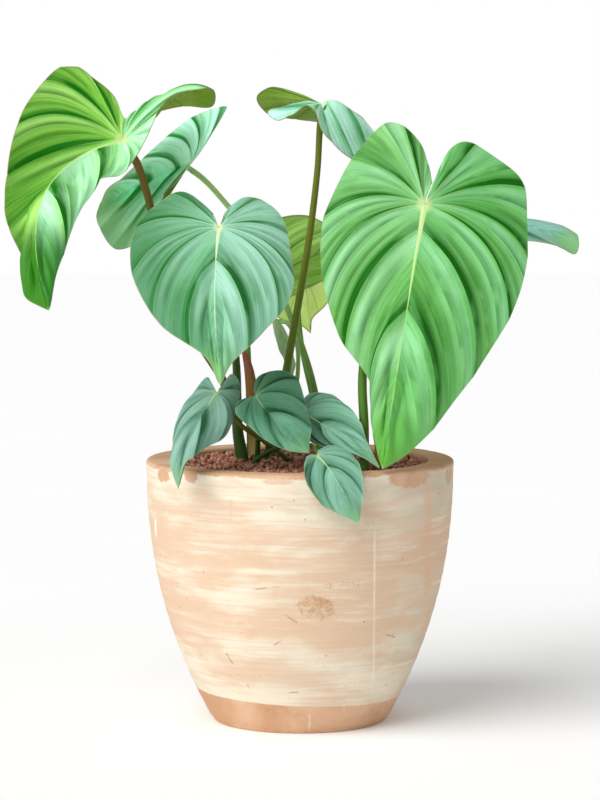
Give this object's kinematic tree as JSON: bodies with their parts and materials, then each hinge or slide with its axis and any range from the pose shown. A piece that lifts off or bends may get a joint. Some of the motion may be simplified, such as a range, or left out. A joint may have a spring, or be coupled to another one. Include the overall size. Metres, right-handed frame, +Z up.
{
  "type": "potted philodendron",
  "caption": "Potted philodendron with broad pleated heart-shaped leaves on upright stalks, in a whitewashed terracotta pot filled with clay granules.",
  "frame": {"origin": "centre of the pot's flat foot, on the surface it stands on", "axes": "+Z up, the front of the plant towards -Y, +X to the right seen from the front"},
  "size_m": [0.5583, 0.3508, 0.6364],
  "materials": {
    "terracotta": "matte",
    "granules": "matte",
    "blade_bright": "satin",
    "blade_mint": "satin",
    "blade_olive": "satin",
    "blade_pale": "satin",
    "blade_dark": "satin",
    "stalk_green": "satin",
    "stalk_olive": "satin",
    "sheath": "matte"
  },
  "bodies": {
    "root": {"pot": "terracotta", "granules": "granules", "blade_left": "blade_bright", "blade_right": "blade_bright", "blade_rear_left": "blade_mint", "blade_centre_left": "blade_mint", "blade_top": "blade_mint", "blade_far_right": "blade_mint", "blade_rear_centre": "blade_olive", "blade_rear_low": "blade_olive", "blade_young": "blade_pale", "blade_low_left": "blade_dark", "blade_low_centre": "blade_dark", "blade_low_right": "blade_dark", "blade_low_front": "blade_dark", "stalk_left": "stalk_olive", "stalk_right": "stalk_green", "stalk_rear_left": "stalk_green", "stalk_centre_left": "stalk_green", "stalk_top": "stalk_olive", "stalk_far_right": "stalk_green", "stalk_rear_centre": "stalk_green", "stalk_rear_low": "stalk_green", "stalk_young": "stalk_olive", "stalk_low_left": "stalk_olive", "stalk_low_centre": "stalk_green", "stalk_low_right": "stalk_green", "stalk_low_front": "stalk_green", "sheath_red": "sheath", "sheath_right": "sheath", "stub": "stalk_green"}
  },
  "joints": []
}
